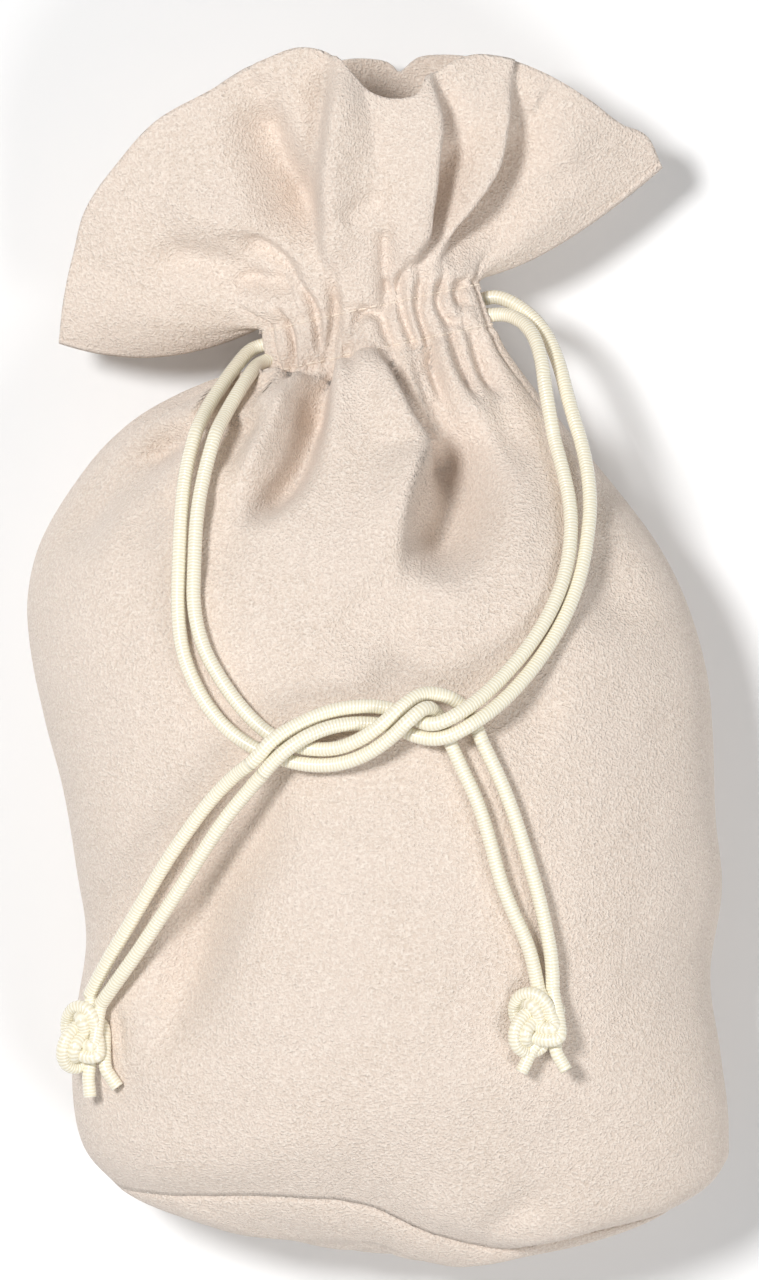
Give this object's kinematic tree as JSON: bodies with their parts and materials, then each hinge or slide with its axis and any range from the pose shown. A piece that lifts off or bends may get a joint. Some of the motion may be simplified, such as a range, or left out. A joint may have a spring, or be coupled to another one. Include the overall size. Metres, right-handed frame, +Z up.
{
  "type": "drawstring gift pouch",
  "caption": "Soft round-based cloth gift pouch with a gathered neck, a flared ruffle above it and two satin drawstrings tied in a loose half knot in front.",
  "frame": {"origin": "on the resting surface, under the middle of the outline of the pouch as it lies on its back", "axes": "+X to the right across the pouch, +Y from the base towards the open ruffle, +Z up from the resting surface through the front"},
  "size_m": [0.1478, 0.2543, 0.0812],
  "materials": {
    "pouch_cloth": "brushed suede-like cloth, pale pink beige, short matt nap",
    "base_cloth": "the same brushed cloth, cut as the base",
    "sewing_thread": "matching sewing thread",
    "satin_cord": "cream satin cord, fine cross ribs, silky shine"
  },
  "bodies": {
    "pouch": {"front_panel": "pouch_cloth", "back_panel": "pouch_cloth", "base_panel": "base_cloth", "left_seam_allowance": "pouch_cloth", "right_seam_allowance": "pouch_cloth", "base_seam_allowance": "base_cloth", "front_casing": "pouch_cloth", "back_casing": "pouch_cloth", "lower_casing_stitching": "sewing_thread", "upper_casing_stitching": "sewing_thread", "left_cord_in_casing": "satin_cord", "right_cord_in_casing": "satin_cord", "left_outer_exit_strand": "satin_cord", "left_inner_exit_strand": "satin_cord", "right_outer_exit_strand": "satin_cord", "right_inner_exit_strand": "satin_cord"},
    "ruffle": {"front_header": "pouch_cloth", "back_header": "pouch_cloth"},
    "drawstring_loop": {"left_outer_strand": "satin_cord", "left_inner_strand": "satin_cord", "right_outer_strand": "satin_cord", "right_inner_strand": "satin_cord"},
    "left_cord_tail": {"left_cord_outer_tail": "satin_cord", "left_cord_inner_tail": "satin_cord", "left_cord_knot": "satin_cord", "left_cord_cut_ends": "satin_cord"},
    "right_cord_tail": {"right_cord_outer_tail": "satin_cord", "right_cord_inner_tail": "satin_cord", "right_cord_knot": "satin_cord", "right_cord_cut_ends": "satin_cord"}
  },
  "joints": [
    {"name": "ruffle_fold", "type": "hinge", "parent": "pouch", "child": "ruffle", "pos_m": [-0.00183, 0.07388, 0.035], "axis": [0.9763, 0.2164, 0], "range_deg": [0, 30]},
    {"name": "loop_lift", "type": "hinge", "parent": "pouch", "child": "drawstring_loop", "pos_m": [0.0017, 0.0461, 0.0529], "axis": [-0.9923, -0.0026, 0.1237], "range_deg": [0, 75]},
    {"name": "left_cord_tail_lift", "type": "hinge", "parent": "drawstring_loop", "child": "left_cord_tail", "pos_m": [0.0179, -0.0172, 0.076], "axis": [-0.9404, -0.3401, 0], "range_deg": [0, 60]},
    {"name": "right_cord_tail_lift", "type": "hinge", "parent": "drawstring_loop", "child": "right_cord_tail", "pos_m": [-0.0243, -0.0229, 0.0772], "axis": [-0.8181, 0.5751, 0], "range_deg": [0, 60]}
  ]
}
